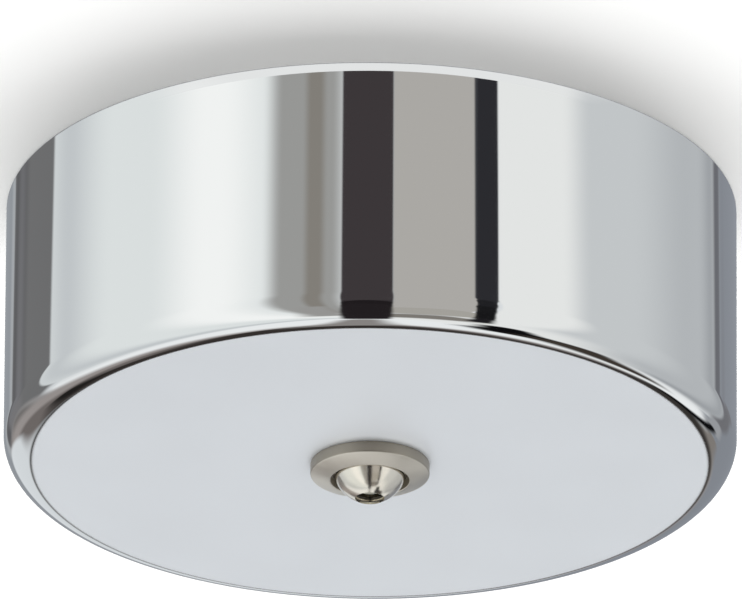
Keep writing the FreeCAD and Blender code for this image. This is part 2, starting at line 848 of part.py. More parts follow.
def make_earth_terminal():
    """The earth terminal: screw, clamp plate, toothed washer and nut."""
    screw = slotted_screw(
        "earth_screw", "earth_radius", "earth_length",
        "earth_head_radius", "earth_head", "earth_slot", "earth_slot_depth",
        x="-earth_place", z="earth_seat")
    washer = toothed_washer(
        "earth_toothed_washer", "earth_washer_radius", "earth_radius + hole_gap",
        "earth_washer_sheet", "earth_washer_tooth", "earth_washer_teeth",
        x="-earth_place", z="web_top")
    nut = hexagon_nut(
        "earth_nut", "earth_nut_flats", "earth_nut_height", "earth_radius + fit_gap",
        x="-earth_place", z="earth_nut_under")
    return [screw, make_earth_clamp_plate(), washer, nut]


pieces = [
    make_cup(),
    make_outlet_flange(),
    make_outlet_screw(),
    make_screw_liner(),
    make_ceiling_bracket(),
    make_cable_grommet(),
    make_cord_yoke(),
    make_yoke_rivets(),
    make_outlet_sleeve(),
    toothed_washer(
        "sleeve_toothed_washer", "sleeve_washer_radius", "spigot_radius + fit_gap",
        "sleeve_washer_sheet", "sleeve_washer_tooth", "sleeve_washer_teeth", z="base_top"),
    hexagon_nut(
        "sleeve_locknut", "locknut_flats", "locknut_height", "spigot_radius + fit_gap",
        z="locknut_under"),
    make_terminal_block(),
    make_terminal_screws(),
]
pieces += [make_terminal_tube(index, use) for index, use in enumerate(POLES)]
pieces += make_block_fixings()
pieces += make_earth_terminal()
doc.recompute()

# Nothing is written unless every object is sound
for item in doc.Objects:
    if "Invalid" in item.State or "Error" in item.State:
        raise RuntimeError(f"{item.Label} did not recompute: {item.State}")
for body in pieces:
    if body.Shape.isNull() or not body.Shape.isValid() or not body.Shape.Solids:
        raise RuntimeError(f"{body.Label} has no valid shape")

os.makedirs("parts", exist_ok=True)
for body in pieces:
    body.Shape.exportStep(f"parts/{body.Label}.step")
    solids = len(body.Shape.Solids)
    print(f"{body.Label}: {solids} solid(s), {body.Shape.Volume:.1f} mm3")
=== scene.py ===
# %% [markdown]
# # A chrome ceiling rose, dressed in Blender
#
# The rose is a drawn steel cup, 120 mm across, that hangs under a ceiling. One small
# domed screw of nickel-plated brass holds it up, and the lamp's cord would leave through
# that screw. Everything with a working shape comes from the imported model, the frame.
# This lesson adds what the eye judges: exact curved surfaces, threads, finishes, and a
# small studio whose reflections make polished metal look like metal.

# %% The frame and its box
import json
import math

import bpy
import numpy as np
from mathutils import Matrix, Vector

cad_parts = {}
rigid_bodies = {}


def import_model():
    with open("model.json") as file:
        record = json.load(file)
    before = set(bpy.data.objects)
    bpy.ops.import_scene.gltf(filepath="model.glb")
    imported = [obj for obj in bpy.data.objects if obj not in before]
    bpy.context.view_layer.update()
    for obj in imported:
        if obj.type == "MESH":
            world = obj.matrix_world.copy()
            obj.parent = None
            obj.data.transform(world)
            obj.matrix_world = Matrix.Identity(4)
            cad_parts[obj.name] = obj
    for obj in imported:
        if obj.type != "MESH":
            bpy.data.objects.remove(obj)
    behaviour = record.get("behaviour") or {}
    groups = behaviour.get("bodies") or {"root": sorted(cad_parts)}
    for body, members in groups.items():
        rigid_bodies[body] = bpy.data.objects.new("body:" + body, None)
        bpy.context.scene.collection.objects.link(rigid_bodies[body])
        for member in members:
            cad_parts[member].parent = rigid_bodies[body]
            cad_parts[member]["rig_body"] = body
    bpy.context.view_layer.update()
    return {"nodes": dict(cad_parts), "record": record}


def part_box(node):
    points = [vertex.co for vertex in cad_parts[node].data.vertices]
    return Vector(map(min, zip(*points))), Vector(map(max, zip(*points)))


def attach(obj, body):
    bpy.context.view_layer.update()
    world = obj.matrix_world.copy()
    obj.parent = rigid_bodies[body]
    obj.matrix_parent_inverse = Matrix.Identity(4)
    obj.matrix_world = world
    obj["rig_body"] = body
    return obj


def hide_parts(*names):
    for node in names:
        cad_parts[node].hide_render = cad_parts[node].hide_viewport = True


for left_over in list(bpy.data.objects):
    bpy.data.objects.remove(left_over)
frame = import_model()
nodes = frame["nodes"]
MM = 0.001


# %% [markdown]
# The camera looks up at the rose from 24 degrees below the ceiling, from 3.6 m away,
# through a very long lens, so the cup's sides stay parallel as in the photograph. It
# aims at a point on the rose's axis, a little under the rim, and leans a third of a
# degree to one side.

# %% The camera
CAMERA_DISTANCE = 3.6
CAMERA_BELOW = math.radians(24)
AIM_BELOW_CEILING = 15.65 * MM
CAMERA_LEAN = math.radians(-0.34)
SENSOR = 36.0
LENS = 1062.4
NEAREST, FURTHEST = 0.05, 20.0


def point_camera(place, aim, lean):
    """A camera turn whose view goes from place to aim, with the picture turned by lean."""
    forward = (aim - place).normalized()
    right = forward.cross(Vector((0, 0, 1))).normalized()
    up = right.cross(forward)
    turn = Matrix.Rotation(lean, 3, forward)
    columns = (turn @ right, turn @ up, -forward)
    return Matrix(columns).transposed().to_4x4()


camera_data = bpy.data.cameras.new("camera")
camera_data.sensor_width = SENSOR
camera_data.lens = LENS
camera_data.clip_start = NEAREST
camera_data.clip_end = FURTHEST
camera = bpy.data.objects.new("camera", camera_data)
bpy.context.scene.collection.objects.link(camera)
camera_place = CAMERA_DISTANCE * Vector((0, -math.cos(CAMERA_BELOW), -math.sin(CAMERA_BELOW)))
camera_turn = point_camera(camera_place, Vector((0, 0, -AIM_BELOW_CEILING)), CAMERA_LEAN)
camera.matrix_world = Matrix.Translation(camera_place) @ camera_turn
bpy.context.scene.camera = camera
bpy.context.scene.view_settings.view_transform = "Standard"
print("camera at", [round(v, 3) for v in camera_place], "lens", LENS)


# %% [markdown]
# A few small helpers serve every finish. The first turns a colour as a paint chart gives
# it, a hex value in sRGB, into the linear numbers that a shader wants. The others add
# one node with its settings and its links, so that each material below reads as a list.

# %% Helpers for materials
def linear(hex_colour):
    """sRGB hex to linear RGBA: each channel c is ((c + 0.055) / 1.055) ** 2.4 above 0.04045."""
    channels = [int(hex_colour[i:i + 2], 16) / 255 for i in (0, 2, 4)]
    low = [c / 12.92 for c in channels]
    high = [((c + 0.055) / 1.055) ** 2.4 for c in channels]
    return (*[h if c > 0.04045 else l for c, h, l in zip(channels, high, low)], 1.0)


def add(tree, kind, inputs=None, **settings):
    """Adds one node. Settings are its properties, and inputs its sockets' values or links."""
    node = tree.nodes.new(kind)
    for name, setting in settings.items():
        setattr(node, name, setting)
    for name, given in (inputs or {}).items():
        if isinstance(given, bpy.types.NodeSocket):
            tree.links.new(given, node.inputs[name])
        else:
            node.inputs[name].default_value = given
    return node


def math_node(tree, operation, *inputs, **settings):
    """One arithmetic node; returns its output."""
    return add(tree, "ShaderNodeMath", dict(enumerate(inputs)),
               operation=operation, **settings).outputs[0]


def ramp(tree, value, start, end, low=0.0, high=1.0, shape="LINEAR"):
    """Maps start..end to low..high and holds the ends; SMOOTHSTEP eases into them."""
    return add(tree, "ShaderNodeMapRange", {
        "Value": value, "From Min": start, "From Max": end, "To Min": low, "To Max": high},
        interpolation_type=shape).outputs[0]


def mix_values(tree, factor, first, second):
    """A value between first and second, by a factor from 0 to 1."""
    return add(tree, "ShaderNodeMix", {0: factor, 2: first, 3: second}).outputs[0]


def mix_colours(tree, factor, first, second):
    """A colour between first and second, each a link or linear RGBA."""
    return add(tree, "ShaderNodeMix", {0: factor, 6: first, 7: second}, data_type="RGBA").outputs[2]


def new_material(name):
    """An empty node material with an output; returns the material and its tree."""
    material = bpy.data.materials.new(name)
    material.use_nodes = True
    material.node_tree.nodes.clear()
    return material, material.node_tree


print("half grey 808080 in linear light:", round(linear("808080")[0], 3))


# %% [markdown]
# Polished chrome shows little of itself: what it shows is the room. The room here is the
# world's shader. For rays that bounce off gloss it holds a studio drawn by bearing, the
# angle round the rose measured from the camera's side, and by elevation: a big softbox
# at each side, a black flag beside the camera, grey screens, and a pale table low down
# behind. Diffuse surfaces see plain even light, and the camera sees white.
#
# The cup's small corner mirrors what lies below the rose, from the camera's side to far
# behind it. Strips are drawn there on a flat map whose middle is straight down.
#
# Chrome keeps only about 0.73 of the light that meets it. Each card below is written as
# the colour that it makes in the chrome, so the shader divides by that share.

# %% The studio
DEGREES = 180 / math.pi
CHROME_SHARE = 0.73
PLAIN_LIGHT = 0.66
STUDIO_WALLS = "e6e8e9"

# Name, bearing from and to and its softness, elevation from and to and its softness,
# colour in the chrome. Bearings count from the camera's side, to the right positive.
CARDS = [
    ("pale wall behind", -190, 190, 1, -27, 95, 3, "d8dbdd"),
    ("cool screen behind, left", -190, -154, 14, -14, 95, 10, "878b90"),
    ("left softbox", -120.7, -31, 1.6, -90, 95, 4, "dadede"),
    ("its far end", -120.7, -102, 26, -90, 95, 8, "bcc0c3"),
    ("grey screen, left", -154, -120.7, 2, -20, 95, 10, "6b6b6c"),
    ("its shadowed edge", -154, -141, 8, -20, 95, 10, "58585a"),
    ("bright heart of the left softbox", -64, -38, 22, -90, 95, 8, "f1f2f1"),
    ("grey screen, front left", -31.5, -9.2, 7, -66, 95, 8, "979795"),
    ("its darker fold", -20.5, -15, 3, -66, 95, 6, "827e78"),
    ("right softbox", 40.2, 139.5, 1.2, -90, 95, 4, "e3e4e3"),
    ("its middle", 68, 139.5, 12, -50, 95, 30, "c2c5c7"),
    ("its far end", 104, 139.5, 30, -50, 95, 30, "b0b3b6"),
    ("its last fold", 131, 139.5, 12, -44, 95, 8, "979a9e"),
    ("warm screen, front right", 6.8, 34.5, 0.8, -48, 95, 6, "aba8a4"),
    ("black frame of the right softbox", 32.6, 40.2, 0.8, 19, 95, 3, "3a3b3f"),
    ("black flag beside the camera", -9.2, 6.8, 0.8, -56, 95, 3, "3c3739"),
    ("its lower end, in shadow", -9.2, 6.8, 1.2, -56, -18, 14, "1d1a1c"),
    ("dark edge behind, right", 138.5, 144.5, 3, -14, 95, 10, "66676c"),
    ("cool screen behind, right", 143.5, 190, 3, -27, 95, 8, "7f838a"),
]

# Name, from and to as (degrees to the right, degrees behind) from straight down, half
# width at each end, softness, colour in the chrome.
STRIPS = [
    ("grey floor, left", (-60, 88), (-61, 74), 9, 9, 8, "6f6f72"),
    ("grey floor, left, nearer", (-61, 74), (-46, 62), 10, 10, 8, "727173"),
    ("grey floor, behind the table", (-46, 58), (-20, 58), 17, 17, 8, "8c8a8a"),
    ("shade on that floor", (-48, 62), (-18, 62), 12, 12, 8, "6d6a69"),
    ("grey floor, right", (58, 90), (62, 80), 5, 5, 7, "707074"),
    ("grey floor, right, nearer", (62, 80), (46, 60), 5, 5, 7, "6c6c70"),
    ("gap behind the table, soft edge", (-30, 58), (-14, 56), 22, 23, 12, "938d8b"),
    ("gap behind the table", (-24, 60), (-8, 56), 12, 15, 8, "6b6563"),
    ("its darkest part, left", (-18, 52), (-3, 60), 3.2, 4, 5, "1f1d1c"),
    ("its darkest part, middle", (-3.5, 44), (-1, 63), 5, 5.5, 6, "322d2b"),
    ("pale wall over the gap", (-28, 75), (-8, 74.5), 11, 10, 5, "cdd1d4"),
    ("its grey end, right", (3, 65), (20, 62.5), 2.5, 2.5, 3, "7b7672"),
    ("floor beyond the corner", (33, 59), (42, 59), 5, 5, 4, "94969a"),
    ("its darkest part, right", (12, 57), (0, 66), 3.5, 3.5, 4, "33302e"),
    ("shade under the flag", (-1, 12), (-1, 44), 2.5, 2.5, 3, "868280"),
    ("right edge of the table", (20, 5), (14, 25), 4.5, 4.5, 4, "0d0c0e"),
    ("corner of the table, near", (16, 18), (20, 26), 6.5, 6.5, 5, "0d0c0e"),
    ("right edge, further back", (20, 26), (18, 43), 6, 5, 6, "3a342f"),
    ("corner of the table, far", (11, 57.5), (31, 58.6), 2.2, 2.2, 3, "0b0b0d"),
    ("foot of the grey screen", (-17, -48), (-8, -14), 4.5, 4.5, 6, "959492"),
    ("foot of the warm screen", (10, -34.5), (20, -35), 13, 13, 2, "a3a09a"),
    ("shade under the warm screen", (5, -12), (13, -12), 9, 9, 6, "7b7772"),
    ("foot of the black frame", (67.8, -91), (59.2, -83.2), 6.7, 5.8, 1.2, "2b2b2f"),
    ("its second part", (59.2, -83.2), (45.9, -64.6), 5.8, 4.5, 1.2, "202023"),
    ("its third part", (45.9, -64.6), (35.2, -44.2), 4.5, 3.4, 1.2, "19191b"),
    ("its fourth part", (35.2, -44.2), (26.1, -22.8), 3.4, 2.6, 1.2, "161618"),
    ("end of the black frame", (26.1, -22.8), (20, -9), 2.6, 2.6, 2.5, "1c1b1e"),
    ("foot of the black flag", (-1.65, -66), (-1.4, -53), 9.35, 8.1, 1.4, "1f1b1d"),
    ("end of the black flag", (-1.4, -53), (-0.6, 4), 8.1, 3.4, 1.4, "221e20"),
]


def between(tree, angle, start, end, soft):
    """1 where an angle lies from start to end, falling smoothly to 0 over soft degrees."""
    rise = ramp(tree, angle, start - soft / 2, start + soft / 2, shape="SMOOTHSTEP")
    fall = ramp(tree, angle, end - soft / 2, end + soft / 2, 1.0, 0.0, "SMOOTHSTEP")
    return math_node(tree, "MULTIPLY", rise, fall)


def scaled(colour, strength):
    """A linear colour times a strength, still opaque."""
    return (*[c * strength for c in colour[:3]], 1.0)


def in_chrome(hex_colour):
    """The light that shows as this colour once chrome has taken its share."""
    return scaled(linear(hex_colour), 1 / CHROME_SHARE)


def near_strip(tree, spot, start, end, first, last, soft):
    """1 near the segment from start to end, falling to 0 over soft. The half width goes
    from first to last along it."""
    along = (end[0] - start[0], end[1] - start[1], 0)
    from_start = add(tree, "ShaderNodeVectorMath", {0: spot, 1: (*start, 0)},
                     operation="SUBTRACT").outputs[0]
    share = add(tree, "ShaderNodeVectorMath", {0: from_start, 1: along},
                operation="DOT_PRODUCT").outputs["Value"]
    share = math_node(tree, "MULTIPLY", share, 1 / (along[0] ** 2 + along[1] ** 2), use_clamp=True)
    foot = add(tree, "ShaderNodeVectorMath", {0: along, "Scale": share},
               operation="SCALE").outputs[0]
    apart = add(tree, "ShaderNodeVectorMath", {0: from_start, 1: foot},
                operation="DISTANCE").outputs["Value"]
    half_width = math_node(tree, "MULTIPLY_ADD", share, last - first, first)
    past = math_node(tree, "SUBTRACT", apart, half_width)
    return ramp(tree, past, -soft / 2, soft / 2, 1.0, 0.0, "SMOOTHSTEP")


def studio_directions(tree):
    """Bearing and elevation in degrees, and the spot on the map round straight down."""
    direction = add(tree, "ShaderNodeTexCoord").outputs["Generated"]
    split = add(tree, "ShaderNodeSeparateXYZ", {0: direction})
    towards_camera = math_node(tree, "MULTIPLY", split.outputs["Y"], -1.0)
    bearing = math_node(tree, "ARCTAN2", split.outputs["X"], towards_camera)
    elevation = math_node(tree, "ARCSINE", split.outputs["Z"])
    from_below = math_node(tree, "ADD", elevation, math.pi / 2)
    right = math_node(tree, "MULTIPLY", from_below, math_node(tree, "SINE", bearing))
    behind = math_node(tree, "MULTIPLY", from_below, math_node(tree, "COSINE", bearing))
    spot = add(tree, "ShaderNodeCombineXYZ", {
        "X": math_node(tree, "MULTIPLY", right, DEGREES),
        "Y": math_node(tree, "MULTIPLY", behind, -DEGREES)}).outputs[0]
    bearing = math_node(tree, "MULTIPLY", bearing, DEGREES)
    return bearing, math_node(tree, "MULTIPLY", elevation, DEGREES), spot


def build_studio():
    """The world's shader: cards and strips for gloss, even light for the rest."""
    world = bpy.data.worlds.new("studio")
    world.use_nodes = True
    tree = world.node_tree
    tree.nodes.clear()
    bearing, elevation, spot = studio_directions(tree)
    seen = in_chrome(STUDIO_WALLS)
    for _, start, end, soft, low, high, edge, colour in CARDS:
        factor = math_node(tree, "MULTIPLY", between(tree, bearing, start, end, soft),
                           between(tree, elevation, low, high, edge))
        seen = mix_colours(tree, factor, seen, in_chrome(colour))
    for _, start, end, first, last, soft, colour in STRIPS:
        factor = near_strip(tree, spot, start, end, first, last, soft)
        seen = mix_colours(tree, factor, seen, in_chrome(colour))
    path = add(tree, "ShaderNodeLightPath")
    plain = mix_colours(tree, path.outputs["Is Camera Ray"],
                        scaled(linear("ffffff"), PLAIN_LIGHT), linear("ffffff"))
    shown = mix_colours(tree, path.outputs["Is Glossy Ray"], plain, seen)
    sky = add(tree, "ShaderNodeBackground", {"Color": shown, "Strength": 1.0})
    add(tree, "ShaderNodeOutputWorld", {"Surface": sky.outputs[0]})
    bpy.context.scene.world = world
    print("studio cards:", len(CARDS), "strips:", len(STRIPS))


build_studio()


# %% [markdown]
# Round and turned surfaces are grids of points. Numpy makes the points with one formula,
# index sums join them into quads, and foreach_set hands both to Blender in one go, which
# is far quicker than adding faces one by one.

# %% Meshes from grids
def surface(name, grid, closed_u=False, closed_v=False):
    """A mesh from a grid of points, (rows, columns, 3), joined into quads by index sums."""
    rows, columns = grid.shape[:2]
    index = np.arange(rows * columns).reshape(rows, columns)
    if closed_u:
        index = np.concatenate([index, index[:1]], 0)
    if closed_v:
        index = np.concatenate([index, index[:, :1]], 1)
    quads = np.stack([index[:-1, :-1], index[:-1, 1:], index[1:, 1:], index[1:, :-1]], -1)
    return build_mesh(name, grid.reshape(-1, 3), quads.reshape(-1, 4))


def build_mesh(name, points, faces):
    """Puts points and faces of one length into a new mesh object, with foreach_set."""
    mesh = bpy.data.meshes.new(name)
    mesh.vertices.add(len(points))
    mesh.vertices.foreach_set("co", np.ascontiguousarray(points, np.float32).ravel())
    corners = faces.shape[1]
    mesh.loops.add(faces.size)
    mesh.loops.foreach_set("vertex_index", np.ascontiguousarray(faces, np.int32).ravel())
    mesh.polygons.add(len(faces))
    mesh.polygons.foreach_set("loop_start", np.arange(0, faces.size, corners, dtype=np.int32))
    mesh.update(calc_edges=True)
    mesh.validate()
    piece = bpy.data.objects.new(name, mesh)
    bpy.context.scene.collection.objects.link(piece)
    return piece


# %% [markdown]
# The ceiling is the surface that keeps the rose's shadow. Seen from above it vanishes,
# so that the inside of the rose can be looked at, and over the rose it lets light in.
# Gloss passes it too, apart from a narrow ring in front, beside the rim, because the
# photograph's cup mirrors a studio over most of its wall and white only next to the rim.
# For gloss that ring glows a fixed near-white by emission, a painted reflection that
# fades out towards the sides.

# %% The ceiling
CEILING_RADIUS = 1.5
CEILING_MIDDLE = 0.0001
CEILING_RINGS = (0.1, 0.3)
CEILING_SIDES = 96
CEILING_GAP = 0.05 * MM
MIRRORED_RING = 63.2 * MM
MIRRORED_HALF_WIDTH = (24 * MM, 40 * MM)
CUP_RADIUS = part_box("cup")[1].x


def ceiling_paint():
    """White emulsion on plaster: even, matt, seen from below only; a ring by the rim glows for
    gloss, a painted reflection.
    """
    material, tree = new_material("white_ceiling_paint")
    place = add(tree, "ShaderNodeTexCoord").outputs["Object"]
    flat = add(tree, "ShaderNodeVectorMath", {0: place, 1: (1, 1, 0)},
               operation="MULTIPLY").outputs[0]
    radius = add(tree, "ShaderNodeVectorMath", {0: flat}, operation="LENGTH").outputs["Value"]
    path = add(tree, "ShaderNodeLightPath")
    over_rose = math_node(tree, "LESS_THAN", radius, CUP_RADIUS)
    past_ring = math_node(tree, "GREATER_THAN", radius, MIRRORED_RING)
    sideways = add(tree, "ShaderNodeSeparateXYZ", {0: place}).outputs["X"]
    at_side = ramp(tree, math_node(tree, "ABSOLUTE", sideways), *MIRRORED_HALF_WIDTH)
    past_ring = math_node(tree, "MAXIMUM", past_ring, at_side)
    unmirrored = math_node(tree, "MULTIPLY", past_ring, path.outputs["Is Glossy Ray"])
    hidden = math_node(tree, "MAXIMUM", over_rose, unmirrored)
    not_camera = math_node(tree, "SUBTRACT", 1.0, path.outputs["Is Camera Ray"])
    hidden = math_node(tree, "MULTIPLY", hidden, not_camera)
    behind = add(tree, "ShaderNodeNewGeometry").outputs["Backfacing"]
    hidden = math_node(tree, "MAXIMUM", hidden, behind)
    paint = add(tree, "ShaderNodeBsdfDiffuse", {"Color": linear("f4f4f3")})
    # Painted reflection: gloss sees the ring glow this near-white, whatever light falls there.
    painted_reflection_glow = add(tree, "ShaderNodeEmission", {"Color": in_chrome("e2e3e3"), "Strength": 1.0})
    seen = add(tree, "ShaderNodeMixShader", {
        0: path.outputs["Is Glossy Ray"], 1: paint.outputs[0], 2: painted_reflection_glow.outputs[0]})
    clear = add(tree, "ShaderNodeBsdfTransparent")
    mixed = add(tree, "ShaderNodeMixShader", {0: hidden, 1: seen.outputs[0], 2: clear.outputs[0]})
    add(tree, "ShaderNodeOutputMaterial", {"Surface": mixed.outputs[0]})
    return material


turns = -np.linspace(0, 2 * np.pi, CEILING_SIDES + 1)[:-1]
reach = np.array([CEILING_MIDDLE, CUP_RADIUS, *CEILING_RINGS, CEILING_RADIUS])
ring = np.stack([reach[:, None] * np.sin(turns), reach[:, None] * np.cos(turns),
                 np.full((len(reach), len(turns)), CEILING_GAP)], -1)
ceiling = surface("ceiling", ring, closed_v=True)
ceiling.data.materials.append(ceiling_paint())
print("ceiling facing", [round(v, 2) for v in ceiling.data.polygons[0].normal])


# %% [markdown]
# Two area lamps give plain light. A wide one stands low behind the rose and throws its
# shadow forward over the ceiling, and another hangs high above for the views into the
# cup. Neither shows in reflections, where the studio's cards stand for them.

# %% The lamps
def area_lamp(name, place, aim, size, power):
    """A square area lamp at place that shines at aim, and that gloss doesn't see."""
    lamp = bpy.data.lights.new(name, "AREA")
    lamp.size = size
    lamp.energy = power
    holder = bpy.data.objects.new(name, lamp)
    holder.location = place
    holder.rotation_euler = (Vector(aim) - Vector(place)).to_track_quat("-Z", "Y").to_euler()
    holder.visible_glossy = False
    bpy.context.scene.collection.objects.link(holder)
    print(f"{name}: {size} m across, {power} W")
    return holder


area_lamp("low_lamp_behind", (0.05, 0.7, -1.3), (0, 0, 0), 0.95, 17.0)
area_lamp("high_lamp_above", (-0.4, -0.5, 1.2), (0, 0, -0.03), 0.8, 16.0)


# %% [markdown]
# Finishes share three habits. A bevel node rounds every edge a little, as tumbling and
# plating do. A noise varies the shine, because no real surface is even. A bump gives the
# marks of the tool that made the surface. Patterns use the Object coordinates, which are
# metres in the shared frame, and their scales are written in millimetres.

# %% Helpers for finishes
def object_place(tree):
    """The point on the object, in metres of the shared frame."""
    return add(tree, "ShaderNodeTexCoord").outputs["Object"]


def stretched(tree, place, across):
    """The same point with each axis scaled, to draw a pattern out along one of them."""
    return add(tree, "ShaderNodeVectorMath", {0: place, 1: across}, operation="MULTIPLY").outputs[0]


def noise(tree, place, size, detail=2.0):
    """Soft noise from 0 to 1 whose lumps measure about size in metres."""
    return add(tree, "ShaderNodeTexNoise", {
        "Vector": place, "Scale": 1 / size, "Detail": detail}).outputs[0]


def spread(tree, value, low, high):
    """Maps the middle of a noise, 0.3 to 0.7, to the range from low to high."""
    return ramp(tree, value, 0.3, 0.7, low, high)


def blend(tree, value, first, second):
    """Mixes two sRGB hex colours by a value from 0 to 1."""
    return mix_colours(tree, value, linear(first), linear(second))


def from_axis(tree, place):
    """Distance from the rose's upright axis, in metres."""
    flat = stretched(tree, place, (1, 1, 0))
    return add(tree, "ShaderNodeVectorMath", {0: flat}, operation="LENGTH").outputs["Value"]


def height_of(tree, place):
    """Height in the shared frame, in metres; the ceiling is 0."""
    return add(tree, "ShaderNodeSeparateXYZ", {0: place}).outputs["Z"]


def bumped(tree, height, depth, strength=1.0, edge=0.12 * MM):
    """A bump of this depth in metres over edges that are rounded by edge."""
    rounded = add(tree, "ShaderNodeBevel", {"Radius": edge}, samples=4).outputs[0]
    return add(tree, "ShaderNodeBump", {
        "Height": height, "Distance": depth, "Strength": strength, "Normal": rounded}).outputs[0]


def surface_of(material, tree, **inputs):
    """A Principled shader wired to the output; names have _ for a space."""
    named = {name.replace("_", " "): given for name, given in inputs.items()}
    shader = add(tree, "ShaderNodeBsdfPrincipled", named)
    add(tree, "ShaderNodeOutputMaterial", {"Surface": shader.outputs[0]})
    print(f"{material.name}: {len(tree.nodes)} nodes")
    return material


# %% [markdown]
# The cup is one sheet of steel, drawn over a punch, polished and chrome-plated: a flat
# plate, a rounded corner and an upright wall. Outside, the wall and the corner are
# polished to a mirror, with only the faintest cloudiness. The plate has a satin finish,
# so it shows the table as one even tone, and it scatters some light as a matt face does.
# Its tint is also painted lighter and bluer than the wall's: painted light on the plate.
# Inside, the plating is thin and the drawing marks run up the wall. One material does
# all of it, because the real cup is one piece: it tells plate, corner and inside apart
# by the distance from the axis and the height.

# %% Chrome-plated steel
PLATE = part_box("cup")[0].z / MM
WALL_SHEET = 0.8
CORNER = 4.5
SATIN_STARTS, SATIN_FULL = 0.1, -0.5  # mm outward from the corner's inner end


def inside_cup(tree, radius, height):
    """1 on the cup's inner faces: within the wall, above the plate, under the corner's arc."""
    within = math_node(tree, "LESS_THAN", radius, CUP_RADIUS - WALL_SHEET / 2 * MM)
    above = math_node(tree, "GREATER_THAN", height, (PLATE + WALL_SHEET / 2) * MM)
    curve = math_node(tree, "GREATER_THAN", radius, CUP_RADIUS - CORNER * MM)
    low_curve = math_node(tree, "LESS_THAN", height, (PLATE + CORNER) * MM)
    from_curve = add(tree, "ShaderNodeCombineXYZ", {
        "X": math_node(tree, "SUBTRACT", radius, CUP_RADIUS - CORNER * MM),
        "Y": math_node(tree, "SUBTRACT", height, (PLATE + CORNER) * MM)}).outputs[0]
    arc = add(tree, "ShaderNodeVectorMath", {0: from_curve}, operation="LENGTH").outputs["Value"]
    outside_arc = math_node(tree, "GREATER_THAN", arc, (CORNER - WALL_SHEET / 2) * MM)
    on_corner = math_node(tree, "MULTIPLY", curve, low_curve)
    corner_out = math_node(tree, "MULTIPLY", on_corner, outside_arc)
    inside = math_node(tree, "MULTIPLY", within, above)
    return math_node(tree, "MULTIPLY", inside, math_node(tree, "SUBTRACT", 1.0, corner_out))


def chrome_plated_steel():
    """Mirror chrome outside, satin with a painted lighter tint on the plate, dull with upright
    drawing marks inside.
    """
    material, tree = new_material("chrome_plated_steel")
    place = object_place(tree)
    radius = from_axis(tree, place)
    inside = inside_cup(tree, radius, height_of(tree, place))
    satin_edge = CUP_RADIUS - CORNER * MM
    satin = ramp(tree, radius, satin_edge + SATIN_STARTS * MM, satin_edge + SATIN_FULL * MM,
                 shape="SMOOTHSTEP")
    cloud = noise(tree, place, 14 * MM, 3.0)
    drawn = noise(tree, stretched(tree, place, (1, 1, 0.04)), 0.35 * MM)
    grain = noise(tree, place, 0.06 * MM)
    mirror = spread(tree, cloud, 0.022, 0.034)
    rough = mix_values(tree, satin, mirror, spread(tree, cloud, 0.48, 0.52))
    rough = mix_values(tree, inside, rough, spread(tree, drawn, 0.3, 0.45))
    # Painted light: the plate's tint is lighter and bluer than the wall's, on one chrome.
    tint = mix_colours(tree, inside, blend(tree, satin, "dddede", "f4f8fc"),
                       blend(tree, cloud, "b9bbbd", "c9cacb"))
    marks = mix_values(tree, inside, grain, drawn)
    marked = math_node(tree, "MAXIMUM", inside, math_node(tree, "MULTIPLY", satin, 0.35))
    matt = math_node(tree, "MULTIPLY", satin, math_node(tree, "SUBTRACT", 1.0, inside))
    metallic = math_node(tree, "SUBTRACT", 1.0, math_node(tree, "MULTIPLY", matt, 0.3))
    return surface_of(material, tree, Base_Color=tint, Metallic=metallic, Roughness=rough,
                      Normal=bumped(tree, marks, 0.01 * MM, marked, 0.05 * MM))


chrome = chrome_plated_steel()


# %% [markdown]
# The outlet is two turned parts in nickel-plated brass, warmer and softer than the cup's
# chrome. A lathe tool leaves fine rings round the axis; the plating softens them, and
# the eye sees them as a slight haze across the highlights. The disc's edge, the groove
# round the screw's head, and the cord's bore with the dome's flat tip are painted darker:
# painted shade.

# %% Nickel-plated brass
# Radii where painted shade darkens the nickel: the disc's edge, the groove and the bore.
DISC_EDGE = (9.6, 9.72)  # mm from the axis, as all of these
GROOVE = (5.76, 6.42)
DISC_FROM = 6.43
BORE_MOUTH = (2.4, 2.25)
RING_SPACING = 0.09


def nickel_plated_brass():
    """Warm satin nickel with a lathe tool's faint rings, and painted shade on edge, groove and
    bore.
    """
    material, tree = new_material("nickel_plated_brass")
    place = object_place(tree)
    radius = from_axis(tree, place)
    along = math_node(tree, "ADD", radius, height_of(tree, place))
    rings = add(tree, "ShaderNodeTexNoise", {
        "W": along, "Scale": 1 / (RING_SPACING * MM), "Detail": 1.0},
        noise_dimensions="1D").outputs[0]
    cloud = noise(tree, place, 3 * MM, 3.0)
    painted_shade_on_edge = ramp(tree, radius, *(r * MM for r in DISC_EDGE))
    painted_shade_in_groove = between(tree, radius, *(r * MM for r in GROOVE), 0.05 * MM)
    painted_shade_in_bore = ramp(tree, radius, *(r * MM for r in BORE_MOUTH))
    colour = blend(tree, cloud, "d8d2c6", "e4dfd5")
    # Painted shade: the disc's edge is drawn darker.
    colour = mix_colours(tree, painted_shade_on_edge, colour, linear("968f84"))
    # Painted shade: the groove round the screw's head is drawn dark.
    colour = mix_colours(tree, painted_shade_in_groove, colour, linear("564e44"))
    # Painted shade: the dome's flat tip and the cord's bore are drawn near black.
    colour = mix_colours(tree, painted_shade_in_bore, colour, linear("3b362f"))
    on_disc = math_node(tree, "GREATER_THAN", radius, DISC_FROM * MM)
    rough = mix_values(tree, on_disc, spread(tree, cloud, 0.13, 0.2),
                       spread(tree, cloud, 0.34, 0.44))
    return surface_of(material, tree, Base_Color=colour, Metallic=1.0, Roughness=rough,
                      Normal=bumped(tree, rings, 0.004 * MM, 0.35, 0.06 * MM))


nickel = nickel_plated_brass()


